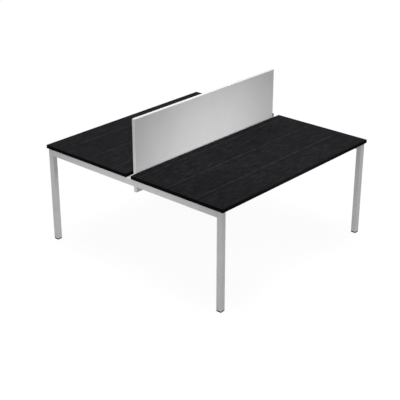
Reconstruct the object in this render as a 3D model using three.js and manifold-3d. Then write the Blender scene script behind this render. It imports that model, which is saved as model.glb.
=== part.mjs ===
// Benching desk for two: two worktops back to back on a tube frame, with a screen standing between them.
// Millimetres, +Z up. The origin is on the floor, under the middle of the desk.
// +X runs along the worktops, from left to right, and +Y from the near user to the far user.
import * as THREE from 'three';
import { mergeVertices } from 'three/addons/utils/BufferGeometryUtils.js';
import Module from 'manifold-3d';

const wasm = await Module();
wasm.setup();

// Worktops: two boards with an edging strip all round
const topLength = 1600;
const topDepth = 800;
const topThickness = 25;
const surfaceHeight = 740;
const topEdging = 2;

// Screen: a board that stands between the worktops, with a gap for cables on both sides, and hangs below them
const screenThickness = 25;
const screenRise = 374;
const screenDrop = 121;
const screenEndInset = 63;
const screenEdging = 2;
const cableGap = 11;

// End frames: square legs with a crossbar welded between them, flush with their outer faces
const legSize = 40;
const crossbarHeight = 48;
const frameWall = 2;
const frameCornerRadius = 3;
const frameEndInset = 6;
const frameFrontInset = 14;

// Rails along the desk, each with a welded plate at both ends
const railHeight = 40;
const railWidth = 20;
const railWall = 1.5;
const railCornerRadius = 2.5;
const railPlateThickness = 3;
const outerRailFromLeg = 130;
const innerRailFromEdge = 110;

// Flanged hexagon bolts that hold the rail plates, in nuts welded inside the crossbars
const railBoltRadius = 4;
const railBoltHexWidth = 13;
const railBoltHeadHeight = 5.5;
const railBoltFlangeRadius = 8.5;
const railBoltFlangeHeight = 1.5;
const railBoltFromRail = 4.5;
const railBoltFromPlateEdge = 12;
const railNutRadius = 8;
const railNutLength = 8;
const boltProtrusion = 2;

// Brackets of folded steel under the inner rails, which hold the screen
const bracketThickness = 3;
const bracketWidth = 90;
const bracketBendRadius = 2;
const bracketPastScrew = 16;
const bracketFromBolt = 18;
const screenBoltRadius = 3;
const screenBoltHexWidth = 10;
const screenBoltHeadHeight = 4;
const screenBoltFlangeRadius = 6.5;
const screenBoltFlangeHeight = 1.2;
const screenNutRadius = 6;
const screenNutLength = 5;

// Screws up through the rails into the worktops
const screwFromEnd = 350;
const screwRadius = 2.5;
const screwHeadRadius = 5;
const screwHeadHeight = 2.5;
const screwCover = 7;
const screwTipLength = 4;

// Levelling feet: insert, stud and pad
const insertFlangeHeight = 4;
const insertPlugHeight = 30;
const insertCoreInset = 2.5;
const insertFinHeight = 3;
const insertFinCount = 3;
const insertChamfer = 1.5;
const padInset = 1;
const padCornerRadius = 3;
const padFloor = 2.1;
const padLipHeight = 0.5;
const padLipReach = 0.8;
const studRadius = 5;
const studNeckRadius = 4;
const studCollarRadius = 7;
const studCollarHeight = 2.5;
const studHexWidth = 13;
const studHexHeight = 5;
const studSpareLength = 3;
const footTravel = 15;

// Gap kept round anything that passes through, turns in or slides into another piece
const clearance = 0.3;
// Extra length by which a cutter runs past the face that it opens
const overcut = 1;

// Facets of a full circle and of a rounded corner, and the distance within which corners count as one
const roundSides = 12;
const cornerSteps = 3;
const mergeDistance = 1e-4;

// Heights and places that follow from the sizes above
const underside = surfaceHeight - topThickness;
const topGap = screenThickness + 2 * cableGap;
const topMiddleY = (topGap + topDepth) / 2;
const frontEdgeY = topGap / 2 + topDepth;
const screenTop = surfaceHeight + screenRise;
const screenBottom = underside - screenDrop;
const screenHeight = screenTop - screenBottom;
const screenLength = topLength - 2 * screenEndInset;
const collarBottom = padFloor + clearance;
const collarTop = collarBottom + studCollarHeight;
const padHeight = collarTop + clearance + padLipHeight;
const insertBottom = padHeight + clearance;
const footHeight = insertBottom + insertFlangeHeight;
const studHexBottom = insertBottom;
const studHexTop = studHexBottom + studHexHeight;
const plugTop = footHeight + insertPlugHeight;
const studTop = plugTop + footTravel + studSpareLength;
const legMiddleX = topLength / 2 - frameEndInset - legSize / 2;
const legMiddleY = frontEdgeY - frameFrontInset - legSize / 2;
const legInnerX = legMiddleX - legSize / 2;
const legInnerY = legMiddleY - legSize / 2;
const outerRailY = legInnerY - outerRailFromLeg;
const innerRailY = topGap / 2 + innerRailFromEdge;
const railUnderside = underside - railHeight;
const railBoltOffset = railWidth / 2 + railBoltFromRail + railBoltFlangeRadius;
const railBoltHeight = underside - railHeight / 2;
const railPlateWidth = 2 * (railBoltOffset + railBoltFromPlateEdge);
const bracketWebInner = screenThickness / 2 + clearance;
const bracketWebOuter = bracketWebInner + bracketThickness;
const screenBoltHeight = (screenBottom + railUnderside) / 2;
const screenBoltSpacing = bracketWidth - 2 * bracketFromBolt;
const screwFromMiddle = topLength / 2 - screwFromEnd;
const screwBite = topThickness - screwCover;

const finishes = {
  board: { color: 0x29292b, roughness: 0.45, metalness: 0 },
  boardEdging: { color: 0x17171a, roughness: 0.5, metalness: 0 },
  screenBoard: { color: 0xe4e4e4, roughness: 0.4, metalness: 0 },
  screenEdging: { color: 0xededed, roughness: 0.4, metalness: 0 },
  frame: { color: 0xbfc0c2, roughness: 0.4, metalness: 0.5 },
  steel: { color: 0xa8a9ab, roughness: 0.35, metalness: 1 },
  plastic: { color: 0x3a3b3d, roughness: 0.6, metalness: 0 },
};

const desk = new THREE.Group();

// Adds one named piece with a finish of its own
function addPiece(name, geometry, finish, x = 0, y = 0, z = 0, turn = 0) {
  const mesh = new THREE.Mesh(geometry, new THREE.MeshStandardMaterial(finishes[finish]));
  mesh.name = name;
  mesh.position.set(x, y, z);
  mesh.rotation.z = turn;
  desk.add(mesh);
}

// Turns a closed geometry into a solid that can be joined and cut
function solidOf(geometry) {
  geometry.deleteAttribute('normal');
  geometry.deleteAttribute('uv');
  const merged = mergeVertices(geometry, mergeDistance);
  const triangles = [];
  for (let i = 0; i < merged.index.count; i += 3) {
    const [a, b, c] = [0, 1, 2].map((corner) => merged.index.getX(i + corner));
    if (a !== b && b !== c && c !== a) triangles.push(a, b, c);
  }
  const mesh = new wasm.Mesh({
    numProp: 3,
    vertProperties: new Float32Array(merged.attributes.position.array),
    triVerts: new Uint32Array(triangles),
  });
  return new wasm.Manifold(mesh);
}

// Turns a solid back into a geometry
function geometryOf(solid) {
  const mesh = solid.getMesh();
  const geometry = new THREE.BufferGeometry();
  geometry.setAttribute('position', new THREE.BufferAttribute(mesh.vertProperties, 3));
  geometry.setIndex(new THREE.BufferAttribute(mesh.triVerts, 1));
  return geometry;
}

function join(first, ...others) {
  return others.reduce((whole, other) => whole.add(other), first);
}

function cut(first, ...others) {
  return others.reduce((whole, other) => whole.subtract(other), first);
}

// Rectangle with rounded corners, centred on the origin
function roundedRectangle(width, height, radius) {
  const [right, top] = [width / 2, height / 2];
  const shape = new THREE.Shape();
  shape.absarc(right - radius, radius - top, radius, -Math.PI / 2, 0);
  shape.absarc(right - radius, top - radius, radius, 0, Math.PI / 2);
  shape.absarc(radius - right, top - radius, radius, Math.PI / 2, Math.PI);
  shape.absarc(radius - right, radius - top, radius, Math.PI, 1.5 * Math.PI);
  shape.closePath();
  return shape;
}

// Rectangle with square corners, centred on the origin
function rectangle(width, height) {
  const [right, top] = [width / 2, height / 2];
  const corners = [[-right, -top], [right, -top], [right, top], [-right, top]];
  return new THREE.Shape(corners.map(([x, y]) => new THREE.Vector2(x, y)));
}

// Square with its corners cut off, centred on the origin
function chamferedSquare(size, chamfer) {
  const [half, short] = [size / 2, size / 2 - chamfer];
  const corners = [
    [-short, -half], [short, -half], [half, -short], [half, short],
    [short, half], [-short, half], [-half, short], [-half, -short],
  ];
  return new THREE.Shape(corners.map(([x, y]) => new THREE.Vector2(x, y)));
}

// Solid of a flat shape, from z = bottom upwards
function extruded(shape, height, bottom = 0) {
  const geometry = new THREE.ExtrudeGeometry(shape, {
    depth: height,
    bevelEnabled: false,
    curveSegments: cornerSteps,
  });
  return geometry.translate(0, 0, bottom);
}

// Rectangular tube with open ends, along Z
function tube(width, depth, wall, radius, length) {
  const shape = roundedRectangle(width, depth, radius);
  const innerRadius = Math.max(radius - wall, wall / 4);
  shape.holes.push(roundedRectangle(width - 2 * wall, depth - 2 * wall, innerRadius));
  return extruded(shape, length);
}

// Solid of revolution about Z, from points of radius and height that start and end on the axis
function turned(points) {
  const profile = points.map(([radius, height]) => new THREE.Vector2(radius, height));
  return new THREE.LatheGeometry(profile, roundSides).rotateX(Math.PI / 2);
}

function cylinder(radius, bottom, top) {
  return turned([[0, bottom], [radius, bottom], [radius, top], [0, top]]);
}

// Hexagonal prism about Z, measured across its flats
function hexagon(acrossFlats, bottom, top) {
  const geometry = new THREE.CylinderGeometry(
    acrossFlats / Math.sqrt(3), acrossFlats / Math.sqrt(3), top - bottom, 6);
  return geometry.rotateX(Math.PI / 2).translate(0, 0, (bottom + top) / 2);
}

// Bolt along Z: its flange seats at z = 0, its shank runs up and its head hangs below
function flangedBolt(radius, length, hexWidth, headHeight, flangeRadius, flangeHeight) {
  const shank = turned([
    [0, -flangeHeight], [flangeRadius, -flangeHeight], [flangeRadius, 0],
    [radius, 0], [radius, length], [0, length],
  ]);
  const head = hexagon(hexWidth, -flangeHeight - headHeight, -flangeHeight / 2);
  return geometryOf(join(solidOf(shank), solidOf(head)));
}

// Screw along Z: its pan head hangs below z = 0, and its shank ends in a point
function panHeadScrew(length) {
  return turned([
    [0, -screwHeadHeight], [screwHeadRadius - screwHeadHeight / 2, -screwHeadHeight],
    [screwHeadRadius, -screwHeadHeight / 2], [screwHeadRadius, 0],
    [screwRadius, 0], [screwRadius, length - screwTipLength], [0, length],
  ]);
}

const sides = [
  { name: 'near', sign: -1 },
  { name: 'far', sign: 1 },
];
const ends = [
  { name: 'left', sign: -1 },
  { name: 'right', sign: 1 },
];

// Worktop board for the far side, with blind holes for its screws, centred on its own middle
function worktopBoard() {
  const outline = rectangle(topLength - 2 * topEdging, topDepth - 2 * topEdging);
  const board = extruded(outline, topThickness, underside);
  const holes = [];
  for (const railY of [outerRailY, innerRailY]) {
    for (const end of ends) {
      const hole = cylinder(screwRadius + clearance, underside - overcut, underside + screwBite + clearance);
      holes.push(solidOf(hole.translate(end.sign * screwFromMiddle, railY - topMiddleY, 0)));
    }
  }
  return geometryOf(cut(solidOf(board), ...holes));
}

function worktopEdging() {
  const ring = rectangle(topLength, topDepth);
  ring.holes.push(rectangle(topLength - 2 * topEdging, topDepth - 2 * topEdging));
  return extruded(ring, topThickness, underside);
}

// Moves a solid that was made along Z so that it runs along Y, standing up
function alongY(geometry) {
  return geometry.rotateX(-Math.PI / 2);
}

function screenBoard() {
  const outline = rectangle(screenLength - 2 * screenEdging, screenHeight - 2 * screenEdging);
  const board = alongY(extruded(outline, screenThickness, -screenThickness / 2));
  const holes = [];
  for (const end of ends) {
    for (const side of [-1, 1]) {
      const reach = screenThickness / 2 + overcut;
      const hole = alongY(cylinder(screenBoltRadius + clearance, -reach, reach));
      const x = end.sign * screwFromMiddle + side * screenBoltSpacing / 2;
      holes.push(solidOf(hole.translate(x, 0, screenBoltHeight - (screenTop + screenBottom) / 2)));
    }
  }
  return geometryOf(cut(solidOf(board), ...holes));
}

function screenEdgingRing() {
  const ring = rectangle(screenLength, screenHeight);
  ring.holes.push(rectangle(screenLength - 2 * screenEdging, screenHeight - 2 * screenEdging));
  return alongY(extruded(ring, screenThickness, -screenThickness / 2));
}

// Crossbar for the right end, with nuts welded behind the wall that faces the other end
function crossbar() {
  const length = 2 * legInnerY;
  const bar = alongY(tube(legSize, crossbarHeight, frameWall, frameCornerRadius, length));
  bar.translate(0, -length / 2, underside - crossbarHeight / 2);
  const innerFace = -legSize / 2;
  const nuts = [];
  const holes = [];
  for (const railY of [-outerRailY, -innerRailY, innerRailY, outerRailY]) {
    for (const side of [-1, 1]) {
      const nut = cylinder(railNutRadius, frameWall / 2, frameWall + railNutLength);
      const hole = cylinder(railBoltRadius + clearance, -overcut, frameWall + railNutLength + overcut);
      for (const [piece, list] of [[nut, nuts], [hole, holes]]) {
        piece.rotateY(Math.PI / 2).translate(innerFace, railY + side * railBoltOffset, railBoltHeight);
        list.push(solidOf(piece));
      }
    }
  }
  return geometryOf(cut(join(solidOf(bar), ...nuts), ...holes));
}

// Rail along X, with its end plates, bolt holes and screw holes
function rail() {
  const length = 2 * (legInnerX - railPlateThickness);
  const bar = tube(railHeight, railWidth, railWall, railCornerRadius, length).rotateY(Math.PI / 2);
  bar.translate(-length / 2, 0, underside - railHeight / 2);
  const plates = [];
  const holes = [];
  for (const end of ends) {
    const plate = new THREE.BoxGeometry(railPlateThickness, railPlateWidth, railHeight);
    plate.translate(end.sign * (legInnerX - railPlateThickness / 2), 0, railBoltHeight);
    plates.push(solidOf(plate));
    for (const side of [-1, 1]) {
      const reach = railPlateThickness / 2 + overcut;
      const hole = cylinder(railBoltRadius + clearance, -reach, reach).rotateY(Math.PI / 2);
      hole.translate(end.sign * (legInnerX - railPlateThickness / 2), side * railBoltOffset, railBoltHeight);
      holes.push(solidOf(hole));
    }
    const screwHole = cylinder(screwRadius + clearance, railUnderside - overcut, underside + overcut);
    holes.push(solidOf(screwHole.translate(end.sign * screwFromMiddle, 0, 0)));
  }
  return geometryOf(cut(join(solidOf(bar), ...plates), ...holes));
}

// Closed outline through corner points of x, y and bend radius
function bentOutline(corners) {
  const shape = new THREE.Shape();
  corners.forEach(([x, y, radius], i) => {
    const corner = new THREE.Vector2(x, y);
    const [before, after] = [corners.at(i - 1), corners[(i + 1) % corners.length]].map(
      ([nextX, nextY]) => new THREE.Vector2(nextX, nextY).sub(corner).setLength(radius).add(corner));
    if (i === 0) shape.moveTo(before.x, before.y);
    else shape.lineTo(before.x, before.y);
    if (radius > 0) shape.quadraticCurveTo(x, y, after.x, after.y);
  });
  shape.closePath();
  return shape;
}

// Screen bracket: a folded channel round the bottom of the screen, with flanges under the inner rails
function screenBracket() {
  const flangeTip = innerRailY + bracketPastScrew;
  const flangeUnder = railUnderside - bracketThickness;
  const floorUnder = screenBottom - bracketThickness;
  const outerBend = bracketBendRadius + bracketThickness;
  const farHalf = [
    [bracketWebOuter, floorUnder, outerBend],
    [bracketWebOuter, flangeUnder, bracketBendRadius],
    [flangeTip, flangeUnder, 0],
    [flangeTip, railUnderside, 0],
    [bracketWebInner, railUnderside, outerBend],
    [bracketWebInner, screenBottom, 0],
  ];
  const nearHalf = farHalf.map(([y, z, radius]) => [-y, z, radius]).reverse();
  const strip = extruded(bentOutline([...farHalf, ...nearHalf]), bracketWidth, -bracketWidth / 2);
  strip.rotateX(Math.PI / 2).rotateZ(Math.PI / 2);
  const nuts = [];
  const holes = [];
  for (const side of [-1, 1]) {
    const x = side * screenBoltSpacing / 2;
    const nutEnd = bracketWebOuter + screenNutLength;
    const nut = alongY(cylinder(screenNutRadius, bracketWebOuter - bracketThickness / 2, nutEnd));
    nuts.push(solidOf(nut.translate(x, 0, screenBoltHeight)));
    const reach = nutEnd + overcut;
    const boltHole = alongY(cylinder(screenBoltRadius + clearance, -reach, reach));
    holes.push(solidOf(boltHole.translate(x, 0, screenBoltHeight)));
    const screwHole = cylinder(screwRadius + clearance, flangeUnder - overcut, railUnderside + overcut);
    holes.push(solidOf(screwHole.translate(0, side * innerRailY, 0)));
  }
  return geometryOf(cut(join(solidOf(strip), ...nuts), ...holes));
}

// Plastic insert: a flange under the leg, and a finned plug up inside it with the thread
function footInsert() {
  const plugSize = legSize - 2 * frameWall - 2 * clearance;
  const coreSize = plugSize - 2 * insertCoreInset;
  const legOutline = roundedRectangle(legSize, legSize, frameCornerRadius);
  const flange = extruded(legOutline, insertFlangeHeight, insertBottom);
  const core = extruded(rectangle(coreSize, coreSize), plugTop - insertBottom, insertBottom);
  const fins = [];
  const finStep = (insertPlugHeight - insertFinHeight) / (insertFinCount - 1);
  for (let i = 0; i < insertFinCount; i += 1) {
    const outline = chamferedSquare(plugSize, insertChamfer);
    fins.push(solidOf(extruded(outline, insertFinHeight, footHeight + i * finStep)));
  }
  const thread = cylinder(studRadius + clearance, insertBottom, plugTop + overcut);
  const pocketRadius = studHexWidth / Math.sqrt(3) + 2 * clearance;
  const pocket = cylinder(pocketRadius, insertBottom - overcut, studHexTop + clearance);
  return geometryOf(cut(join(solidOf(flange), solidOf(core), ...fins), solidOf(thread), solidOf(pocket)));
}

// Threaded stud: a collar that turns in the pad, a hexagon for a spanner, and the thread
function footStud() {
  const shaft = turned([
    [0, collarBottom], [studCollarRadius, collarBottom], [studCollarRadius, collarTop],
    [studNeckRadius, collarTop], [studNeckRadius, studHexTop - studHexHeight / 2],
    [studRadius, studHexTop - studHexHeight / 2], [studRadius, studTop], [0, studTop],
  ]);
  return geometryOf(join(solidOf(shaft), solidOf(hexagon(studHexWidth, studHexBottom, studHexTop))));
}

// Square pad with a socket whose lip holds the stud's collar
function footPad() {
  const padSize = legSize - 2 * padInset;
  const block = extruded(roundedRectangle(padSize, padSize, padCornerRadius), padHeight);
  const socket = cylinder(studCollarRadius + clearance, padFloor, padHeight - padLipHeight);
  const mouth = cylinder(studCollarRadius - padLipReach, padFloor, padHeight + overcut);
  return geometryOf(cut(solidOf(block), solidOf(socket), solidOf(mouth)));
}

// Worktops and screen. The far side's pieces serve the near side too, turned half round.
for (const side of sides) {
  const turn = side.sign > 0 ? 0 : Math.PI;
  const y = side.sign * topMiddleY;
  addPiece(`${side.name}_worktop`, worktopBoard(), 'board', 0, y, 0, turn);
  addPiece(`${side.name}_worktop_edging`, worktopEdging(), 'boardEdging', 0, y);
}
const screenMiddleZ = (screenTop + screenBottom) / 2;
addPiece('screen', screenBoard(), 'screenBoard', 0, 0, screenMiddleZ);
addPiece('screen_edging', screenEdgingRing(), 'screenEdging', 0, 0, screenMiddleZ);

// End frames and feet
for (const end of ends) {
  const x = end.sign * legMiddleX;
  addPiece(`${end.name}_crossbar`, crossbar(), 'frame', x, 0, 0, end.sign > 0 ? 0 : Math.PI);
  for (const side of sides) {
    const corner = `${side.name}_${end.name}`;
    const y = side.sign * legMiddleY;
    const leg = tube(legSize, legSize, frameWall, frameCornerRadius, underside - footHeight);
    addPiece(`${corner}_leg`, leg, 'frame', x, y, footHeight);
    addPiece(`${corner}_foot_insert`, footInsert(), 'plastic', x, y);
    addPiece(`${corner}_foot_stud`, footStud(), 'steel', x, y);
    addPiece(`${corner}_foot_pad`, footPad(), 'plastic', x, y);
  }
}

// Rails with their bolts and screws
const railBoltLength = railPlateThickness + frameWall + railNutLength + boltProtrusion;
for (const side of sides) {
  for (const [place, railY] of [['outer', outerRailY], ['inner', innerRailY]]) {
    const railName = `${side.name}_${place}_rail`;
    const y = side.sign * railY;
    addPiece(railName, rail(), 'frame', 0, y);
    for (const end of ends) {
      for (const [number, across] of [[1, -1], [2, 1]]) {
        const bolt = flangedBolt(railBoltRadius, railBoltLength, railBoltHexWidth,
          railBoltHeadHeight, railBoltFlangeRadius, railBoltFlangeHeight);
        bolt.rotateY(end.sign * Math.PI / 2);
        const seatX = end.sign * (legInnerX - railPlateThickness);
        addPiece(`${railName}_${end.name}_bolt_${number}`, bolt, 'steel',
          seatX, y + across * railBoltOffset, railBoltHeight);
      }
      const seatZ = place === 'inner' ? railUnderside - bracketThickness : railUnderside;
      const screw = panHeadScrew(underside + screwBite - seatZ);
      addPiece(`${railName}_${end.name}_screw`, screw, 'steel', end.sign * screwFromMiddle, y, seatZ);
    }
  }
}

// Screen brackets with their clamping bolts
const screenBoltLength = 2 * bracketWebOuter + screenNutLength + boltProtrusion;
for (const end of ends) {
  const x = end.sign * screwFromMiddle;
  addPiece(`${end.name}_screen_bracket`, screenBracket(), 'frame', x);
  for (const [number, across] of [[1, -1], [2, 1]]) {
    const bolt = flangedBolt(screenBoltRadius, screenBoltLength, screenBoltHexWidth,
      screenBoltHeadHeight, screenBoltFlangeRadius, screenBoltFlangeHeight);
    addPiece(`${end.name}_screen_bolt_${number}`, alongY(bolt), 'steel',
      x + across * screenBoltSpacing / 2, -bracketWebOuter, screenBoltHeight);
  }
}

export default desk;
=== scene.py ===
# Benching desk for two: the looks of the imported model, in metres, in the model's own frame.
import math

import bmesh
import bpy
from mathutils import Matrix, Vector


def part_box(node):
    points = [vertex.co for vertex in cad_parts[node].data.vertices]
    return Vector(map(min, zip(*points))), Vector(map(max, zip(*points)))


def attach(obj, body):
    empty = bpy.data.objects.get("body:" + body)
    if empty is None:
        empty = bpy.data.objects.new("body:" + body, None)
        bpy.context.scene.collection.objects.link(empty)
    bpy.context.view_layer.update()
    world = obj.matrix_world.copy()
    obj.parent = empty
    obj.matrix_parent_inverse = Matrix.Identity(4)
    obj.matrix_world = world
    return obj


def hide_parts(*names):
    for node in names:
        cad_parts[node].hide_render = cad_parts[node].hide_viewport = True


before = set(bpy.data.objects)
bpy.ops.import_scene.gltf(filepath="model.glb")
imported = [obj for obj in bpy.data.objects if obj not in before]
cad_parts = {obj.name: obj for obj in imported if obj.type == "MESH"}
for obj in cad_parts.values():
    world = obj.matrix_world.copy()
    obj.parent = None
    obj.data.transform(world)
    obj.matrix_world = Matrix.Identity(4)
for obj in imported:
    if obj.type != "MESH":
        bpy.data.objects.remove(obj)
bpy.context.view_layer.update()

MM = 0.001
X, Y, Z = 0, 1, 2
SIDES = {"near": -1, "far": 1}
ENDS = {"left": -1, "right": 1}
RAILS = ("outer", "inner")
BOLTS = (1, 2)

# Camera: a long lens from the front left, looking down
LENS = 90.3
SENSOR = 36
CAMERA_PLACE = (-5.0512, -4.4119, 3.3365)
CAMERA_TARGET = (-0.3893, -0.2718, 0.5)

# Room and floor: the camera and gloss see white, and less light falls on the desk
WHITE = "#ffffff"
ROOM_LIGHT = 0.33
FLOOR_SIZE = 60
# The floor glows white for this share of what is seen. The rest is lit, and keeps the desk's shadow.
FLOOR_WHITENESS = 0.93
# The floor's colour for the light that it throws back on the desk
FLOOR_BOUNCE = "#727272"

# Suns: a broad one overhead, one from the front left, and an equal one from behind that makes no shine
SUNS = [
    {"power": 1.97, "spread": 40, "place": (0, 0, 6), "target": (0, 0, 0)},
    {"power": 1.25, "spread": 12, "place": (-4.66, -4.14, 2.84), "target": (0, 0, 0)},
    {"power": 1.25, "spread": 10, "place": (4.66, 4.14, 0.2), "target": (0, 0, 0), "gloss": False},
]
# Spots: a wide one overhead, and one at the front and one at the left, just above the worktops
SPOTS = [
    {"power": 370, "spread": 26, "softness": 0.8, "place": (-0.1, -0.35, 6), "target": (-0.1, -0.35, 0)},
    {"power": 80, "spread": 60, "softness": 0.12, "place": (0, -2, 0.85), "target": (0, -0.14, 0.4)},
    {"power": 33, "spread": 38, "softness": 0.1, "place": (-2.6, 0, 0.9), "target": (-0.8, 0, 0.4),
     "widen": 1.5},
]


def aim(thing, place, target):
    thing.location = place
    thing.rotation_euler = (Vector(target) - Vector(place)).to_track_quat("-Z", "Y").to_euler()


bpy.ops.object.select_all(action="DESELECT")
bpy.ops.object.camera_add()
camera = bpy.context.active_object
camera.data.lens = LENS
camera.data.sensor_width = SENSOR
aim(camera, CAMERA_PLACE, CAMERA_TARGET)
bpy.context.scene.camera = camera
bpy.context.scene.view_settings.view_transform = "Standard"


# Colours and nodes

def linear(hex_colour):
    channels = [int(hex_colour[i:i + 2], 16) / 255 for i in (1, 3, 5)]
    return [c / 12.92 if c <= 0.04045 else ((c + 0.055) / 1.055) ** 2.4 for c in channels] + [1]


def add_node(tree, kind, inputs=None, **settings):
    """Adds a node with its settings. Each input is a value or another node's output."""
    made = tree.nodes.new(kind)
    for name, value in settings.items():
        setattr(made, name, value)
    for socket, value in (inputs or {}).items():
        if isinstance(value, bpy.types.NodeSocket):
            tree.links.new(value, made.inputs[socket])
        else:
            made.inputs[socket].default_value = value
    return made


def seen_white(tree):
    """1 for what the camera sees straight, in gloss or through glass, and 0 for light on the desk."""
    path = add_node(tree, "ShaderNodeLightPath")
    either = add_node(tree, "ShaderNodeMath", {
        0: path.outputs["Is Camera Ray"], 1: path.outputs["Is Glossy Ray"]}, operation="MAXIMUM")
    return add_node(tree, "ShaderNodeMath", {
        0: either.outputs[0], 1: path.outputs["Is Transmission Ray"]}, operation="MAXIMUM").outputs[0]


def white_room():
    world = bpy.data.worlds.new("white_room")
    world.use_nodes = True
    bpy.context.scene.world = world
    tree = world.node_tree
    strength = add_node(tree, "ShaderNodeMapRange", {
        "Value": seen_white(tree), "To Min": ROOM_LIGHT, "To Max": 1})
    background = tree.nodes["Background"]
    background.inputs["Color"].default_value = linear(WHITE)
    tree.links.new(strength.outputs["Result"], background.inputs["Strength"])


def pale_floor():
    bpy.ops.mesh.primitive_plane_add(size=FLOOR_SIZE)
    floor = bpy.context.active_object
    floor.name = "floor"
    surface = bpy.data.materials.new("white_painted_floor")
    surface.use_nodes = True
    tree = surface.node_tree
    tree.nodes.clear()
    seen = seen_white(tree)
    shade = add_node(tree, "ShaderNodeMix", {0: seen, 6: linear(FLOOR_BOUNCE), 7: linear(WHITE)},
                     data_type="RGBA")
    paint = add_node(tree, "ShaderNodeBsdfDiffuse", {"Color": shade.outputs[2]})
    glow = add_node(tree, "ShaderNodeEmission", {"Color": linear(WHITE), "Strength": 1})
    share = add_node(tree, "ShaderNodeMapRange", {
        "Value": seen, "To Min": 0, "To Max": FLOOR_WHITENESS})
    lit = add_node(tree, "ShaderNodeMixShader", {
        0: share.outputs[0], 1: paint.outputs[0], 2: glow.outputs[0]})
    # From below, the floor lets the underside of the desk be seen
    facing = add_node(tree, "ShaderNodeNewGeometry")
    clear = add_node(tree, "ShaderNodeBsdfTransparent")
    surface_mix = add_node(tree, "ShaderNodeMixShader", {
        0: facing.outputs["Backfacing"], 1: lit.outputs[0], 2: clear.outputs[0]})
    add_node(tree, "ShaderNodeOutputMaterial", {"Surface": surface_mix.outputs[0]})
    floor.data.materials.append(surface)


def lamp(kind, power, place, target, widen=1, gloss=True, **settings):
    bpy.ops.object.light_add(type=kind)
    made = bpy.context.active_object
    made.data.energy = power
    made.scale.x = widen
    made.visible_glossy = gloss
    for name, value in settings.items():
        setattr(made.data, name, value)
    aim(made, place, target)


def sun(spread, **placing):
    lamp("SUN", angle=math.radians(spread), **placing)


def spot(spread, softness, **placing):
    lamp("SPOT", spot_size=math.radians(spread), spot_blend=1, shadow_soft_size=softness, **placing)


white_room()
pale_floor()
for light in SUNS:
    sun(**light)
for light in SPOTS:
    spot(**light)


# Materials

def noise(tree, size_mm, detail=2.0):
    """A random pattern whose patches are about size_mm long along x, y and z."""
    place = add_node(tree, "ShaderNodeTexCoord")
    spread = add_node(tree, "ShaderNodeMapping", {
        "Vector": place.outputs["Object"], "Scale": [1 / (size * MM) for size in size_mm]})
    return add_node(tree, "ShaderNodeTexNoise", {
        "Vector": spread.outputs["Vector"], "Scale": 1, "Detail": detail}).outputs["Fac"]


def between(tree, value, low, high, start=0, end=1):
    """Stretches the part of a pattern that lies from low to high, and levels the rest."""
    return add_node(tree, "ShaderNodeMapRange", {
        "Value": value, "From Min": low, "From Max": high,
        "To Min": start, "To Max": end}).outputs["Result"]


def blended(tree, share, first, second):
    return add_node(tree, "ShaderNodeMix", {0: share, 6: first, 7: second}, data_type="RGBA").outputs[2]


def product(tree, first, second):
    return add_node(tree, "ShaderNodeMath", {0: first, 1: second}, operation="MULTIPLY").outputs[0]


def new_material(name, **constants):
    """A material with its shader's constant values, and the tree to which its patterns are added."""
    made = bpy.data.materials.new(name)
    made.use_nodes = True
    tree = made.node_tree
    shader = tree.nodes["Principled BSDF"]
    for socket, value in constants.items():
        shader.inputs[socket.replace("_", " ")].default_value = value
    return made, tree, shader


def dress(tree, shader, colour, roughness=None, height=None, depth_mm=0.0, strength=0.5):
    """Links a material's patterns to its shader. The height pattern is a relief of that depth."""
    tree.links.new(colour, shader.inputs["Base Color"])
    if roughness is not None:
        tree.links.new(roughness, shader.inputs["Roughness"])
    if height is not None:
        bump = add_node(tree, "ShaderNodeBump", {
            "Height": height, "Strength": strength, "Distance": depth_mm * MM})
        tree.links.new(bump.outputs["Normal"], shader.inputs["Normal"])


# The worktops' print: how wide its planks are and where one joint lies, and how far from the middle of
# a joint its pale line and the dark shade beside it start and end to fade
PLANK_WIDTH = 250 * MM
PLANK_JOINT = -86 * MM
LINE_CORE, LINE_EDGE = 2 * MM, 14 * MM
SHADE_CORE, SHADE_EDGE = 16 * MM, 40 * MM


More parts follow.
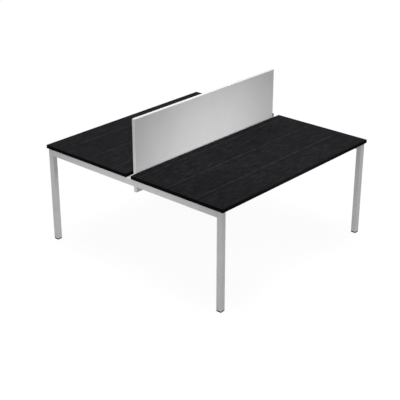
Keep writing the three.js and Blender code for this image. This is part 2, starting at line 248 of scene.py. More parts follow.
def dark_oak_melamine():
    # Board faced with a printed and pressed dark oak melamine: a flat, nearly black grey, printed as planks
    # along the desk with pale joints, softly mottled, with short pores pressed into it and almost no gloss.
    made, tree, shader = new_material("dark_oak_print_melamine", IOR=1.5, Specular_IOR_Level=0.01)
    broad = noise(tree, (1200, 220, 400), 2)
    colour = blended(tree, between(tree, broad, 0.35, 0.65), linear("#0d0d0f"), linear("#101012"))
    mottle = noise(tree, (90, 40, 100), 2)
    colour = blended(tree, between(tree, mottle, 0.38, 0.62, 0, 0.45), colour, linear("#19191b"))
    # Flecks are thick in some places of the print and thin in others
    flecks = between(tree, noise(tree, (52, 17, 30), 4), 0.42, 0.7, 0, 0.85)
    patches = between(tree, noise(tree, (260, 150, 200), 1), 0.35, 0.65, 0.45, 1)
    colour = blended(tree, product(tree, flecks, patches), colour, linear("#27272a"))
    # Fibres are 1 mm wide on the real print, and drawn wider so that they show
    fibre = noise(tree, (60, 4, 20), 3)
    colour = blended(tree, between(tree, fibre, 0.35, 0.65, 0, 0.4), colour, linear("#1e1e21"))
    # How far each point is from the nearest joint
    place = add_node(tree, "ShaderNodeTexCoord")
    across = add_node(tree, "ShaderNodeSeparateXYZ", {0: place.outputs["Object"]}).outputs["Y"]
    moved = add_node(tree, "ShaderNodeMath", {0: across, 1: -PLANK_JOINT}, operation="ADD").outputs[0]
    apart = add_node(tree, "ShaderNodeMath", {0: moved, 1: PLANK_WIDTH / 2},
                     operation="PINGPONG").outputs[0]
    colour = blended(tree, between(tree, apart, SHADE_CORE, SHADE_EDGE, 0.3, 0), colour, linear("#0d0d0f"))
    uneven = between(tree, noise(tree, (60, 400, 400), 2), 0.35, 0.65, 0.25, 1)
    joint = product(tree, between(tree, apart, LINE_CORE, LINE_EDGE, 1, 0), uneven)
    colour = blended(tree, joint, colour, linear("#29292d"))
    pores = between(tree, noise(tree, (18, 1.2, 6), 2), 0.6, 0.68)
    colour = blended(tree, pores, colour, linear("#0f0f10"))
    roughness = between(tree, fibre, 0.3, 0.7, 0.55, 0.7)
    dress(tree, shader, colour, roughness, between(tree, pores, 0, 1, 1, 0), 0.12, 0.6)
    return made


def black_abs_edging():
    # Extruded ABS strip in near black, scraped flush: fine lines along its length and a dull sheen.
    made, tree, shader = new_material("black_abs_edging", IOR=1.53, Specular_IOR_Level=0.005)
    lines = noise(tree, (120, 120, 0.8), 3)
    colour = blended(tree, between(tree, lines, 0.35, 0.65), linear("#080809"), linear("#0d0d0e"))
    dress(tree, shader, colour, between(tree, lines, 0.3, 0.7, 0.45, 0.6), lines, 0.05, 0.4)
    return made


def white_melamine():
    # Board faced with white melamine: an even light grey white with the soft pearl of a pressed sheet.
    made, tree, shader = new_material("white_pearl_melamine", IOR=1.5, Specular_IOR_Level=0.15)
    cloud = noise(tree, (160, 160, 160), 2)
    colour = blended(tree, between(tree, cloud, 0.3, 0.7), linear("#cfcfcf"), linear("#d3d3d3"))
    # The pearl is under 1 mm on the real sheet, and drawn at 2 mm
    pearl = noise(tree, (2, 2, 2), 2)
    dress(tree, shader, colour, between(tree, pearl, 0.3, 0.7, 0.42, 0.55), pearl, 0.06, 0.35)
    return made


def white_abs_edging():
    # Extruded white ABS strip: a little whiter and smoother than the board, with lines along it.
    made, tree, shader = new_material("white_abs_edging", IOR=1.53, Specular_IOR_Level=0.15)
    lines = noise(tree, (120, 0.8, 120), 3)
    colour = blended(tree, between(tree, lines, 0.3, 0.7), linear("#d4d4d4"), linear("#d9d9d9"))
    dress(tree, shader, colour, between(tree, lines, 0.3, 0.7, 0.4, 0.5), lines, 0.04, 0.3)
    return made


def silver_powder_coat():
    # Steel tube with a baked silver-grey powder coat: fine orange peel and a faint metallic sparkle.
    made, tree, shader = new_material("silver_powder_coat", Metallic=0.15, IOR=1.5, Specular_IOR_Level=0.3)
    # Flakes are a tenth of a millimetre in the real paint, and drawn at 0.8 mm
    flakes = noise(tree, (0.8, 0.8, 0.8), 1)
    cloud = noise(tree, (90, 90, 90), 2)
    colour = blended(tree, between(tree, cloud, 0.3, 0.7), linear("#c2c2c2"), linear("#c8c8c8"))
    colour = blended(tree, between(tree, flakes, 0.55, 0.75, 0, 0.3), colour, linear("#dddddd"))
    peel = noise(tree, (2.5, 2.5, 2.5), 1)
    dress(tree, shader, colour, between(tree, peel, 0.3, 0.7, 0.4, 0.5), peel, 0.08, 0.35)
    return made


def zinc_plated_steel():
    # Cold-formed steel with bright zinc plating: a cool grey metal, slightly cloudy.
    made, tree, shader = new_material("zinc_plated_steel", Metallic=1.0)
    cloud = noise(tree, (4, 4, 4), 3)
    colour = blended(tree, between(tree, cloud, 0.3, 0.7), linear("#9b9da1"), linear("#b7b9bb"))
    scratches = noise(tree, (3, 0.3, 3), 2)
    dress(tree, shader, colour, between(tree, cloud, 0.3, 0.7, 0.28, 0.42), scratches, 0.02, 0.3)
    return made


def dark_polyamide():
    # Injection-moulded polyamide in dark grey: matt, with the fine grit of an eroded mould.
    made, tree, shader = new_material("dark_moulded_polyamide", IOR=1.53, Specular_IOR_Level=0.1)
    grit = noise(tree, (0.7, 0.7, 0.7), 2)
    colour = blended(tree, between(tree, grit, 0.35, 0.65), linear("#121213"), linear("#1b1b1d"))
    dress(tree, shader, colour, between(tree, grit, 0.3, 0.7, 0.5, 0.65), grit, 0.05, 0.5)
    return made


finishes = {
    "worktop_board": dark_oak_melamine(),
    "worktop_edging": black_abs_edging(),
    "screen_board": white_melamine(),
    "screen_edging": white_abs_edging(),
    "frame_paint": silver_powder_coat(),
    "zinc_steel": zinc_plated_steel(),
    "foot_plastic": dark_polyamide(),
}


# Modelling by hand: primitives, edit mode and modifiers

# Points closer than this are one point
SAME_PLACE = MM / 1000
# How far a cut starts outside a piece, and a joined shape reaches into it
OVERRUN = 1 * MM
# Two unit directions with at least this product run the same way
ALIGNED = 0.9


def start(primitive, **settings):
    """Adds a primitive with nothing else selected, and puts its place into its mesh."""
    bpy.ops.object.select_all(action="DESELECT")
    primitive(**settings)
    bpy.ops.object.transform_apply(location=True, rotation=True, scale=True)
    return bpy.context.active_object


def choose(*pieces):
    bpy.ops.object.select_all(action="DESELECT")
    for piece in pieces:
        piece.select_set(True)
    bpy.context.view_layer.objects.active = pieces[0]


def edit(piece):
    choose(piece)
    bpy.ops.object.mode_set(mode="EDIT")


def close_edit():
    bpy.ops.object.mode_set(mode="OBJECT")


def pick(piece, kind, test):
    """Selects those faces or edges, in edit mode, whose middle and direction pass the test."""
    bpy.ops.mesh.select_mode(type=kind)
    bpy.ops.mesh.select_all(action="DESELECT")
    mesh = bmesh.from_edit_mesh(piece.data)
    if kind == "FACE":
        for face in mesh.faces:
            face.select_set(test(face.calc_center_median(), face.normal))
    else:
        for edge in mesh.edges:
            first, second = (corner.co for corner in edge.verts)
            edge.select_set(test((first + second) / 2, (second - first).normalized()))
    bmesh.update_edit_mesh(piece.data)


def finish_with(piece, kind, **settings):
    """Adds a modifier and applies it."""
    choose(piece)
    modifier = piece.modifiers.new(kind.lower(), kind)
    for name, value in settings.items():
        setattr(modifier, name, value)
    bpy.ops.object.modifier_apply(modifier=modifier.name)


def combine(piece, other, how):
    """Cuts, joins or trims a piece with another, which is used up."""
    finish_with(piece, "BOOLEAN", object=other, operation=how, solver="EXACT")
    bpy.data.objects.remove(other)


def join(*pieces):
    """Makes closed pieces into one piece, as shells that reach into each other."""
    choose(*pieces)
    bpy.ops.object.join()


def block(low, high):
    low, high = Vector(low), Vector(high)
    return start(bpy.ops.mesh.primitive_cube_add, size=1, location=(low + high) / 2, scale=high - low)


def on_outer_edge(low, high):
    """Test for an edge that lies on the outer edges of the block between two corners."""
    def test(middle, along):
        gaps = [min(abs(middle[i] - low[i]), abs(middle[i] - high[i])) for i in (X, Y, Z)]
        return sum(gap < SAME_PLACE for gap in gaps) >= 2
    return test


def every_edge(middle, along):
    return True


def level_edge(middle, along):
    return abs(along.z) < 1 - ALIGNED


def along_axis(axis):
    """Test for an edge that runs along an axis, or a face that looks along it."""
    def test(middle, direction):
        return abs(direction[axis]) > ALIGNED
    return test


def round_edges(piece, radius, steps, test):
    edit(piece)
    pick(piece, "EDGE", test)
    bpy.ops.mesh.bevel(offset=radius, segments=steps, affect="EDGES")
    close_edit()


def open_through(piece, axis, wall):
    """Opens a block right through along an axis, and leaves a wall all round."""
    edit(piece)
    pick(piece, "FACE", along_axis(axis))
    bpy.ops.mesh.inset(thickness=wall)
    bpy.ops.mesh.bridge_edge_loops()
    close_edit()


def drill(piece, radius, first, second, sides=24):
    """Cuts a round hole between two points."""
    first, second = Vector(first), Vector(second)
    turn = (second - first).to_track_quat("Z", "Y").to_euler()
    bit = start(bpy.ops.mesh.primitive_cylinder_add, vertices=sides, radius=radius,
                depth=(second - first).length, location=(first + second) / 2, rotation=turn)
    combine(piece, bit, "DIFFERENCE")


def draw_line(points):
    """A chain of edges through points: one corner that is extruded step by step."""
    line = start(bpy.ops.mesh.primitive_plane_add, size=MM)
    edit(line)
    bpy.ops.mesh.select_mode(type="VERT")
    bpy.ops.mesh.select_all(action="SELECT")
    bpy.ops.mesh.merge(type="CENTER")
    bpy.ops.transform.translate(value=points[0])
    for before, after in zip(points, points[1:]):
        step = Vector(after) - Vector(before)
        bpy.ops.mesh.extrude_vertices_move(TRANSFORM_OT_translate={"value": step})
    close_edit()
    return line


def tidy_mesh(piece):
    """Merges doubles and turns all faces outwards."""
    edit(piece)
    bpy.ops.mesh.select_all(action="SELECT")
    bpy.ops.mesh.remove_doubles(threshold=SAME_PLACE)
    bpy.ops.mesh.normals_make_consistent(inside=False)
    close_edit()


def turned(profile, sides=32):
    """A closed solid of revolution about Z, from radius and height points that start and end on the axis."""
    piece = draw_line([(radius, 0, height) for radius, height in profile])
    finish_with(piece, "SCREW", angle=math.tau, steps=sides, render_steps=sides)
    tidy_mesh(piece)
    return piece


# A thread's form, as shares of its pitch: its depth, and where its flank and its crest start and end
THREAD_DEPTH = 0.613
FLANK_START = 0.2
CREST_START, CREST_END = 0.55, 0.68
# A little more than a whole turn, so that no corner of the thread lies on a cut
THREAD_RUN_OUT = 1.013


def threaded_rod(radius, pitch, bottom, top, sides=20):
    """A rod along Z with a real helical thread, cut flat at both ends."""
    root = radius - THREAD_DEPTH * pitch
    foot = bottom - THREAD_RUN_OUT * pitch
    profile = [(root, 0), (root, FLANK_START), (radius, CREST_START), (radius, CREST_END), (root, 1)]
    piece = draw_line([(r, 0, foot + share * pitch) for r, share in profile])
    turns = math.ceil((top - bottom) / pitch) + 2
    finish_with(piece, "SCREW", angle=math.tau, steps=sides, render_steps=sides,
                screw_offset=pitch, iterations=turns)
    tidy_mesh(piece)
    edit(piece)
    for height, side in ((bottom, -1), (top, 1)):
        bpy.ops.mesh.select_all(action="SELECT")
        bpy.ops.mesh.bisect(plane_co=(0, 0, height), plane_no=(0, 0, side), use_fill=True,
                            clear_outer=True, threshold=SAME_PLACE / 10)
    bpy.ops.mesh.select_all(action="SELECT")
    bpy.ops.mesh.normals_make_consistent(inside=False)
    close_edit()
    return piece


# A hexagon's chamfer: the flat left on its end, as a share of its width, and the slope outside that flat
CHAMFER_FLAT = 0.48
CHAMFER_SLOPE = math.tan(math.radians(30))
# The chamfer's cone goes on past the corners by this share, and drops by that much more
PAST_CORNER = 1.05
PAST_DROP = 1.3


def hexagon(across_flats, bottom, top, chamfered):
    """A hexagon along Z. The ends named in chamfered, of bottom and top, have the corners turned off."""
    corner = across_flats / math.sqrt(3)
    piece = start(bpy.ops.mesh.primitive_cylinder_add, vertices=6, radius=corner, depth=top - bottom,
                  location=(0, 0, (bottom + top) / 2))
    flat = across_flats * CHAMFER_FLAT
    outside = corner * PAST_CORNER
    drop = (corner - flat) * CHAMFER_SLOPE * PAST_DROP
    profile = [(0, bottom)]
    if "bottom" in chamfered:
        profile += [(flat, bottom), (outside, bottom + drop)]
    else:
        profile += [(outside, bottom)]
    if "top" in chamfered:
        profile += [(outside, top - drop), (flat, top)]
    else:
        profile += [(outside, top)]
    profile += [(0, top)]
    combine(piece, turned(profile, sides=48), "INTERSECT")
    return piece


SMOOTH_ANGLE = 35
FLAT_FACE_WEIGHT = 80


def smooth(piece):
    """Smooth shading on rounded edges, with flat faces kept flat."""
    choose(piece)
    bpy.ops.object.shade_smooth_by_angle(angle=math.radians(SMOOTH_ANGLE))
    finish_with(piece, "WEIGHTED_NORMAL", keep_sharp=True, weight=FLAT_FACE_WEIGHT)


def copied(piece, place=(0, 0, 0), turn=None):
    """A copy with its own mesh, turned and then moved."""
    twin = piece.copy()
    twin.data = piece.data.copy()
    bpy.context.scene.collection.objects.link(twin)
    twin.data.transform(Matrix.Translation(place) @ (turn or Matrix.Identity(4)))
    return twin


def hand_over(piece, node, finish, body="desk"):
    """Lets a piece stand for a node of the model, with its finish, and move with its body."""
    piece.name = f"{node}_finished"
    piece.data.name = piece.name
    piece.data.materials.clear()
    piece.data.materials.append(finishes[finish])
    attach(piece, body)
    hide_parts(node)


def middle_of(node):
    low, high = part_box(node)
    return (low + high) / 2


# Worktops and screen

EDGING = 2 * MM
EDGE_ROUNDING = 1 * MM
BOARD_ARRIS = 0.25 * MM
# The clearance between pieces that fit into each other
FIT = 0.3 * MM


def board(node):
    low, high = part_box(node)
    piece = block(low, high)
    round_edges(piece, BOARD_ARRIS, 2, every_edge)
    return piece


def edge_strip(node, axis):
    """A strip all round a board whose faces look along an axis, with its outer edges rounded."""
    low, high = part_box(node)
    piece = block(low, high)
    open_through(piece, axis, EDGING)
    round_edges(piece, EDGE_ROUNDING, 4, on_outer_edge(low, high))
    return piece


def worktop(side):
    top = board(f"{side}_worktop")
    for place in RAILS:
        for end in ENDS:
            low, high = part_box(f"{side}_{place}_rail_{end}_screw")
            middle = (low + high) / 2
            tip = high.z + FIT
            drill(top, SCREW_HOLE, (middle.x, middle.y, low.z), (middle.x, middle.y, tip))
    smooth(top)
    hand_over(top, f"{side}_worktop", "worktop_board")
    strip = edge_strip(f"{side}_worktop_edging", Z)
    smooth(strip)
    hand_over(strip, f"{side}_worktop_edging", "worktop_edging")


def screen():
    panel = board("screen")
    for end in ENDS:
        for number in BOLTS:
            low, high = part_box(f"{end}_screen_bolt_{number}")
            middle = (low + high) / 2
            drill(panel, SCREEN_BOLT_HOLE, (middle.x, low.y, middle.z), (middle.x, high.y, middle.z))
    smooth(panel)
    hand_over(panel, "screen", "screen_board")
    strip = edge_strip("screen_edging", Y)
    smooth(strip)
    hand_over(strip, "screen_edging", "screen_edging")


# Bolts and screws

RAIL_BOLT = {
    "radius": 4 * MM, "pitch": 1.25 * MM, "hex_width": 13 * MM, "head_height": 5.5 * MM,
    "flange_radius": 8.5 * MM, "flange_height": 1.5 * MM}
SCREEN_BOLT = {
    "radius": 3 * MM, "pitch": 1 * MM, "hex_width": 10 * MM, "head_height": 4 * MM,
    "flange_radius": 6.5 * MM, "flange_height": 1.2 * MM}
RAIL_BOLT_HOLE = RAIL_BOLT["radius"] + FIT
SCREEN_BOLT_HOLE = SCREEN_BOLT["radius"] + FIT
# A flange's form: shares of its radius at the seat, of its height in the rim, and of the rim in the break
SEAT_RADIUS = 0.97
RIM_HEIGHT = 0.6
RIM_BREAK = 0.3
# Where the cone past the rim ends in the hexagon, in shares of the hexagon's width and the flange's height
CONE_RADIUS = 0.55
CONE_HEIGHT = 1.4


def flanged_bolt(length, radius, pitch, hex_width, head_height, flange_radius, flange_height):
    """A bolt along Z: its flange seats at z = 0, its shank runs up and its head hangs below."""
    rim = flange_height * RIM_HEIGHT
    cone = flange_height * CONE_HEIGHT
    piece = turned([
        (0, 0), (flange_radius * SEAT_RADIUS, 0), (flange_radius, -rim * RIM_BREAK), (flange_radius, -rim),
        (hex_width * CONE_RADIUS, -cone), (0, -cone)])
    head_end = -flange_height - head_height
    combine(piece, hexagon(hex_width, head_end, -flange_height, ["bottom"]), "UNION")
    join(piece, threaded_rod(radius, pitch, -flange_height / 2, length))
    smooth(piece)
    return piece


def head_of(bolt):
    return bolt["head_height"] + bolt["flange_height"]


def rail_bolts():
    head = head_of(RAIL_BOLT)
    low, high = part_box("far_outer_rail_right_bolt_1")
    bolt = flanged_bolt(high.x - low.x - head, **RAIL_BOLT)
    for side in SIDES:
        for place in RAILS:
            for end, sign in ENDS.items():
                for number in BOLTS:
                    node = f"{side}_{place}_rail_{end}_bolt_{number}"
                    low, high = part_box(node)
                    seat = middle_of(node)
                    seat.x = low.x + head if sign > 0 else high.x - head
                    turn = Matrix.Rotation(sign * math.pi / 2, 4, "Y")
                    hand_over(copied(bolt, seat, turn), node, "zinc_steel")
    bpy.data.objects.remove(bolt)


def screen_bolts():
    head = head_of(SCREEN_BOLT)
    low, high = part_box("left_screen_bolt_1")
    bolt = flanged_bolt(high.y - low.y - head, **SCREEN_BOLT)
    for end in ENDS:
        for number in BOLTS:
            node = f"{end}_screen_bolt_{number}"
            seat = middle_of(node)
            seat.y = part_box(node)[0].y + head
            turn = Matrix.Rotation(-math.pi / 2, 4, "X")
            hand_over(copied(bolt, seat, turn), node, "zinc_steel")
    bpy.data.objects.remove(bolt)


SCREW_RADIUS = 2.5 * MM
SCREW_PITCH = 2.2 * MM
SCREW_HOLE = SCREW_RADIUS + FIT
# The point is drawn in by this share in each of a few steps
TIP_LENGTH = 4 * MM
TIP_STEPS = 4
TIP_TAPER = 0.72
SCREW_HEAD_RADIUS = 5 * MM
SCREW_HEAD_HEIGHT = 2.5 * MM
# The pan head's outline from its seat down to its crown, in shares of its radius and height
PAN_HEAD = [(0, 0), (0.96, 0), (1, 0.1), (1, 0.4), (0.92, 0.7), (0.72, 0.93), (0.4, 1), (0, 1)]
RECESS_WIDTH = 1.3 * MM
RECESS_SPAN = 4.6 * MM
RECESS_DEPTH = 1.6 * MM
# The recess narrows to this share at its bottom, and is cut from this many head heights below the seat
RECESS_TAPER = 0.6
RECESS_START = 1.5


def screw_head():
    """A pan head that hangs below z = 0, with a cross recess."""
    radius, height = SCREW_HEAD_RADIUS, SCREW_HEAD_HEIGHT
    head = turned([(radius * across, -height * down) for across, down in PAN_HEAD])
    for width, depth in ((RECESS_SPAN, RECESS_WIDTH), (RECESS_WIDTH, RECESS_SPAN)):
        slot = block((-width / 2, -depth / 2, -height * RECESS_START),
                     (width / 2, depth / 2, RECESS_DEPTH - height))
        edit(slot)
        pick(slot, "FACE", lambda middle, normal: normal.z > ALIGNED)
        bpy.ops.transform.resize(value=(RECESS_TAPER, RECESS_TAPER, 1), center_override=(0, 0, 0))
        close_edit()
        combine(head, slot, "DIFFERENCE")
    return head


def pan_head_screw(length):
    """A screw along Z: its head hangs below z = 0, and its shank ends in a point."""
    piece = threaded_rod(SCREW_RADIUS, SCREW_PITCH, -SCREW_HEAD_HEIGHT / 2, length, sides=16)
    edit(piece)
    for step in range(TIP_STEPS, 0, -1):
        tip_start = length - TIP_LENGTH * step / TIP_STEPS
        pick(piece, "FACE", lambda middle, normal: middle.z > tip_start)
        bpy.ops.transform.resize(value=(TIP_TAPER, TIP_TAPER, 1), center_override=(0, 0, length))
    close_edit()
    combine(piece, screw_head(), "UNION")
    smooth(piece)
    return piece


def worktop_screws():
    for place in RAILS:
        low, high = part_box(f"far_{place}_rail_right_screw")
        screw = pan_head_screw(high.z - low.z - SCREW_HEAD_HEIGHT)
        for side in SIDES:
            for end in ENDS:
                node = f"{side}_{place}_rail_{end}_screw"
                seat = middle_of(node)
                seat.z = low.z + SCREW_HEAD_HEIGHT
                hand_over(copied(screw, seat), node, "zinc_steel")
        bpy.data.objects.remove(screw)


# End frames and rails

TUBE_WALL = 2 * MM
TUBE_CORNER = 3 * MM
RAIL_WIDTH = 20 * MM
RAIL_WALL = 1.5 * MM
RAIL_CORNER = 2.5 * MM
PLATE = 3 * MM
PLATE_CORNER = 5 * MM
RAIL_NUT_WIDTH = 13.5 * MM
RAIL_NUT_HEIGHT = 8 * MM
# Beads of weld: how far apart their drops lie, the drops' half sizes, and the grid that melts them together
BEAD_SPACING = 2.2 * MM
BEAD_DROP = (2 * MM, 2.6 * MM, 2.6 * MM)
BEAD_GRID = 0.6 * MM


def tube(low, high, axis, wall, corner):
    """A rectangular tube along an axis, open at both ends, with rounded corners inside and out."""
    piece = block(low, high)
    open_through(piece, axis, wall)
    lengthwise = along_axis(axis)
    on_outside = on_outer_edge(low, high)
    round_edges(piece, corner, 5, lambda middle, along: (
        lengthwise(middle, along) and on_outside(middle, along)))
    sideways = [i for i in (X, Y, Z) if i != axis]

    def inner(middle, along):
        depths = [min(middle[i] - low[i], high[i] - middle[i]) for i in sideways]
        return lengthwise(middle, along) and all(abs(depth - wall) < wall / 10 for depth in depths)
    round_edges(piece, max(corner - wall, wall / 4), 3, inner)
    return piece


def legs():
    for side in SIDES:
        for end in ENDS:
            node = f"{side}_{end}_leg"
            piece = tube(*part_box(node), Z, TUBE_WALL, TUBE_CORNER)
            smooth(piece)
            hand_over(piece, node, "frame_paint")


def weld_bead(length):
    """A rippled bead of weld along X, from overlapping drops that are melted into one."""
    count = int(length / BEAD_SPACING)
    bead = start(bpy.ops.mesh.primitive_uv_sphere_add, segments=16, ring_count=10, radius=1,
                 location=((1 - count) * BEAD_SPACING / 2, 0, 0), scale=BEAD_DROP)
    finish_with(bead, "ARRAY", count=count, use_relative_offset=False, use_constant_offset=True,
                constant_offset_displace=(BEAD_SPACING, 0, 0))
    finish_with(bead, "REMESH", mode="VOXEL", voxel_size=BEAD_GRID)
    finish_with(bead, "SMOOTH", factor=0.5, iterations=2)
    return bead


def weld_nut(width, height, hole):
    """A nut along Z that sits on z = 0."""
    nut = hexagon(width, 0, height, ["top"])
    drill(nut, hole, (0, 0, -OVERRUN), (0, 0, height + OVERRUN))
    return nut


def crossbars():
    node = "right_crossbar"
    low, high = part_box(node)
    piece = tube(low, high, Y, TUBE_WALL, TUBE_CORNER)
    nut = weld_nut(RAIL_NUT_WIDTH, RAIL_NUT_HEIGHT, RAIL_BOLT_HOLE)
    parts = [piece]
    for side in SIDES:
        for place in RAILS:
            for number in BOLTS:
                middle = middle_of(f"{side}_{place}_rail_right_bolt_{number}")
                drill(piece, RAIL_BOLT_HOLE, (low.x - OVERRUN, middle.y, middle.z),
                      (low.x + 2 * TUBE_WALL, middle.y, middle.z))
                seat = (low.x + TUBE_WALL, middle.y, middle.z)
                parts.append(copied(nut, seat, Matrix.Rotation(math.pi / 2, 4, "Y")))
    bpy.data.objects.remove(nut)
    bead = weld_bead(high.x - low.x - 2 * TUBE_CORNER)
    for y in (low.y, high.y):
        parts.append(copied(bead, ((low.x + high.x) / 2, y, low.z)))
    bpy.data.objects.remove(bead)
    join(*parts)
    smooth(piece)
    hand_over(copied(piece, turn=Matrix.Rotation(math.pi, 4, "Z")), "left_crossbar", "frame_paint")
    hand_over(piece, node, "frame_paint")


def rails():
    low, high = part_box("far_outer_rail")
    middle = (low + high) / 2
    aside = Vector((0, middle.y, 0))
    low, high = low - aside, high - aside
    half = RAIL_WIDTH / 2
    inside = high.x - PLATE
    bite = PLATE / 4
    piece = tube(Vector((-inside - bite, -half, low.z)), Vector((inside + bite, half, high.z)),
                 X, RAIL_WALL, RAIL_CORNER)
    for sign in ENDS.values():
        near_x, far_x = sorted((sign * inside, sign * high.x))
        plate = block((near_x, low.y, low.z), (far_x, high.y, high.z))
        round_edges(plate, PLATE_CORNER, 4, along_axis(X))
        combine(piece, plate, "UNION")
    past_plate = Vector((4 * PLATE, 0, 0))
    for end in ENDS:
        for number in BOLTS:
            bolt = middle_of(f"far_outer_rail_{end}_bolt_{number}") - aside
            drill(piece, RAIL_BOLT_HOLE, bolt - past_plate, bolt + past_plate)
        screw = middle_of(f"far_outer_rail_{end}_screw")
        drill(piece, SCREW_HOLE, (screw.x, 0, low.z - OVERRUN), (screw.x, 0, high.z + OVERRUN))
    bead = weld_bead(high.z - low.z - 2 * RAIL_CORNER)
    upright = Matrix.Rotation(math.pi / 2, 4, "Y")
    welds = [copied(bead, (x, y, middle.z), upright) for x in (-inside, inside) for y in (-half, half)]
    bpy.data.objects.remove(bead)
    join(piece, *welds)
    smooth(piece)
    for side in SIDES:
        for place in RAILS:
            node = f"{side}_{place}_rail"
            hand_over(copied(piece, (0, middle_of(node).y, 0)), node, "frame_paint")
    bpy.data.objects.remove(piece)


# Screen brackets

BRACKET_SHEET = 3 * MM
TOP_BEND = 3.5 * MM
BOTTOM_BEND = 2 * MM
FLANGE_CORNER = 8 * MM
BRACKET_ARRIS = 0.4 * MM
# Edges that turn by more than this are broken
ARRIS_ANGLE = 50
SCREEN_NUT_WIDTH = 10.2 * MM
SCREEN_NUT_HEIGHT = 5 * MM


def folded_sheet(low, high, web):
    """A sheet folded to a trough with a flange on each side. Its webs stand at web on both sides of y = 0."""
    trough, flange = low.z + BRACKET_SHEET / 2, high.z - BRACKET_SHEET / 2
    half_width = (high.x - low.x) / 2
    profile = [
        (low.y, flange), (-web, flange), (-web, trough), (web, trough), (web, flange), (high.y, flange)]
    piece = draw_line([(-half_width, y, z) for y, z in profile])
    edit(piece)
    bpy.ops.mesh.select_all(action="SELECT")
    bpy.ops.mesh.extrude_region_move(TRANSFORM_OT_translate={"value": (2 * half_width, 0, 0)})
    for level, radius in ((flange, TOP_BEND), (trough, BOTTOM_BEND)):
        pick(piece, "EDGE", lambda middle, along: (
            abs(along.x) > ALIGNED and abs(abs(middle.y) - web) < SAME_PLACE
            and abs(middle.z - level) < SAME_PLACE))
        bpy.ops.mesh.bevel(offset=radius, segments=5, affect="EDGES")
    bpy.ops.mesh.select_all(action="SELECT")
    bpy.ops.mesh.normals_make_consistent(inside=False)
    close_edit()
    finish_with(piece, "SOLIDIFY", thickness=BRACKET_SHEET, offset=0, use_even_offset=True)
    tidy_mesh(piece)
    at_end, at_side = high.y - 10 * SAME_PLACE, half_width - 10 * SAME_PLACE
    round_edges(piece, FLANGE_CORNER, 5, lambda middle, along: (
        abs(along.z) > ALIGNED and abs(middle.y) > at_end and abs(middle.x) > at_side))
    return piece


def screen_brackets():
    low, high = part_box("right_screen_bracket")
    aside = Vector((middle_of("right_screen_bracket").x, 0, 0))
    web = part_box("screen_edging")[1].y + FIT + BRACKET_SHEET / 2
    piece = folded_sheet(low, high, web)
    bolts = [middle_of(f"right_screen_bolt_{number}") - aside for number in BOLTS]
    for bolt in bolts:
        drill(piece, SCREEN_BOLT_HOLE, (bolt.x, -2 * web, bolt.z), (bolt.x, 2 * web, bolt.z))
    for side in SIDES:
        screw = middle_of(f"{side}_inner_rail_right_screw")
        drill(piece, SCREW_HOLE, (0, screw.y, low.z), (0, screw.y, high.z + OVERRUN))
    finish_with(piece, "BEVEL", width=BRACKET_ARRIS, segments=2, limit_method="ANGLE",
                angle_limit=math.radians(ARRIS_ANGLE))
    nut = weld_nut(SCREEN_NUT_WIDTH, SCREEN_NUT_HEIGHT, SCREEN_BOLT_HOLE)
    turn = Matrix.Rotation(-math.pi / 2, 4, "X")
    nuts = [copied(nut, (bolt.x, web + BRACKET_SHEET / 2, bolt.z), turn) for bolt in bolts]
    bpy.data.objects.remove(nut)
    join(piece, *nuts)
    smooth(piece)
    for end in ENDS:
        node = f"{end}_screen_bracket"
        hand_over(copied(piece, (middle_of(node).x, 0, 0)), node, "frame_paint")
    bpy.data.objects.remove(piece)


# Feet

PAD_CORNER = 3 * MM
PAD_ARRIS = 0.7 * MM
PAD_FLOOR = 2.1 * MM
PAD_RIM = 3 * MM
PAD_HOLLOW = 0.5 * MM
PAD_HOLLOW_CORNER = 1 * MM
STUD_RADIUS = 5 * MM
STUD_PITCH = 1.5 * MM
# The end of the thread is drawn in to this share
STUD_TIP_LENGTH = 1 * MM
STUD_TIP_TAPER = 0.85
NECK_RADIUS = 4 * MM
COLLAR_RADIUS = 7 * MM
COLLAR_HEIGHT = 2.5 * MM
COLLAR_ARRIS = 0.4 * MM
NECK_LENGTH = 1.1 * MM
LIP_HEIGHT = 0.5 * MM
LIP_REACH = 0.8 * MM
STUD_HEX = 13 * MM
STUD_HEX_HEIGHT = 5 * MM
INSERT_FLANGE = 4 * MM
INSERT_ARRIS = 0.8 * MM
PLUG_CORE = 30.4 * MM
PLUG_FIN = 35.4 * MM
FIN_HEIGHT = 3 * MM
FIN_COUNT = 3
FIN_CHAMFER = 1.5 * MM


def foot_pad(low, high):
    """A square moulded pad about Z: rounded, a little hollow underneath, with the stud's socket."""
    piece = block(low, high)
    round_edges(piece, PAD_CORNER, 5, along_axis(Z))
    round_edges(piece, PAD_ARRIS, 3, level_edge)
    rim = high.x - PAD_RIM
    hollow = block((-rim, -rim, low.z - OVERRUN), (rim, rim, low.z + PAD_HOLLOW))
    round_edges(hollow, PAD_HOLLOW_CORNER, 3, along_axis(Z))
    combine(piece, hollow, "DIFFERENCE")
    wide, mouth = COLLAR_RADIUS + FIT, COLLAR_RADIUS - LIP_REACH
    lip, above = high.z - LIP_HEIGHT, high.z + OVERRUN
    socket = turned([
        (0, PAD_FLOOR), (wide, PAD_FLOOR), (wide, lip), (mouth, lip), (mouth, above), (0, above)])
    combine(piece, socket, "DIFFERENCE")
    smooth(piece)
    return piece


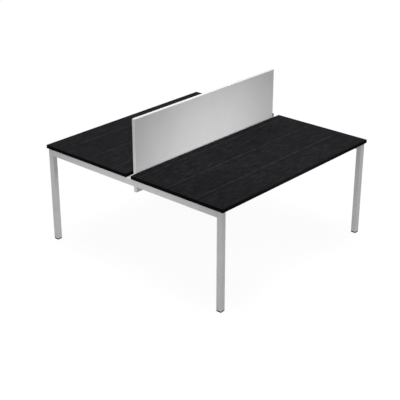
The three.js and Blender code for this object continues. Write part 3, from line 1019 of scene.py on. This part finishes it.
def foot_stud(low, high):
    """A threaded stud along Z, with a collar that turns in the pad and a hexagon for a spanner."""
    collar_top = low.z + COLLAR_HEIGHT
    hex_bottom = collar_top + NECK_LENGTH
    hex_top = hex_bottom + STUD_HEX_HEIGHT
    piece = threaded_rod(STUD_RADIUS, STUD_PITCH, hex_top - OVERRUN, high.z)
    edit(piece)
    pick(piece, "FACE", lambda middle, normal: middle.z > high.z - STUD_TIP_LENGTH)
    bpy.ops.transform.resize(value=(STUD_TIP_TAPER, STUD_TIP_TAPER, 1), center_override=(0, 0, high.z))
    close_edit()
    flat, neck_top = COLLAR_RADIUS - COLLAR_ARRIS, hex_bottom + OVERRUN
    neck = turned([
        (0, low.z), (flat, low.z), (COLLAR_RADIUS, low.z + COLLAR_ARRIS),
        (COLLAR_RADIUS, collar_top - COLLAR_ARRIS), (flat, collar_top),
        (NECK_RADIUS, collar_top), (NECK_RADIUS, neck_top), (0, neck_top)])
    combine(piece, neck, "UNION")
    combine(piece, hexagon(STUD_HEX, hex_bottom, hex_top, ["bottom", "top"]), "UNION")
    smooth(piece)
    return piece


def foot_insert(low, high):
    """A moulded insert along Z: a flange under the leg, and a finned plug up inside it."""
    flange_top = low.z + INSERT_FLANGE
    piece = block(low, (high.x, high.y, flange_top))
    round_edges(piece, TUBE_CORNER, 5, along_axis(Z))
    round_edges(piece, INSERT_ARRIS, 3, lambda middle, along: (
        level_edge(middle, along) and middle.z < low.z + SAME_PLACE))
    core = PLUG_CORE / 2
    combine(piece, block((-core, -core, flange_top - OVERRUN), (core, core, high.z)), "UNION")
    fin = PLUG_FIN / 2
    step = (high.z - flange_top - FIN_HEIGHT) / (FIN_COUNT - 1)
    for number in range(FIN_COUNT):
        bottom = flange_top + number * step
        # The lowest fin starts inside the flange
        sunk = OVERRUN if number == 0 else 0
        ring = block((-fin, -fin, bottom - sunk), (fin, fin, bottom + FIN_HEIGHT))
        round_edges(ring, FIN_CHAMFER, 1, along_axis(Z))
        combine(piece, ring, "UNION")
    below, above = low.z - OVERRUN, high.z + OVERRUN
    drill(piece, STUD_RADIUS + FIT, (0, 0, below), (0, 0, above), sides=32)
    # The stud's hexagon turns in a round pocket
    pocket = STUD_HEX / math.sqrt(3) + 2 * FIT
    drill(piece, pocket, (0, 0, below), (0, 0, low.z + STUD_HEX_HEIGHT + FIT), sides=32)
    smooth(piece)
    return piece


def feet():
    kinds = (
        ("foot_pad", foot_pad, "foot_plastic", "pad"),
        ("foot_stud", foot_stud, "zinc_steel", "stud"),
        ("foot_insert", foot_insert, "foot_plastic", None))
    for kind, model, finish, rider in kinds:
        low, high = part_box(f"far_right_{kind}")
        centre = middle_of(f"far_right_{kind}")
        centre.z = 0
        piece = model(low - centre, high - centre)
        for side in SIDES:
            for end in ENDS:
                corner = f"{side}_{end}"
                node = f"{corner}_{kind}"
                place = middle_of(node)
                body = f"{corner}_{rider}" if rider else "desk"
                hand_over(copied(piece, (place.x, place.y, 0)), node, finish, body)
        bpy.data.objects.remove(piece)


for side in SIDES:
    worktop(side)
screen()
legs()
crossbars()
rails()
rail_bolts()
worktop_screws()
screen_brackets()
screen_bolts()
feet()
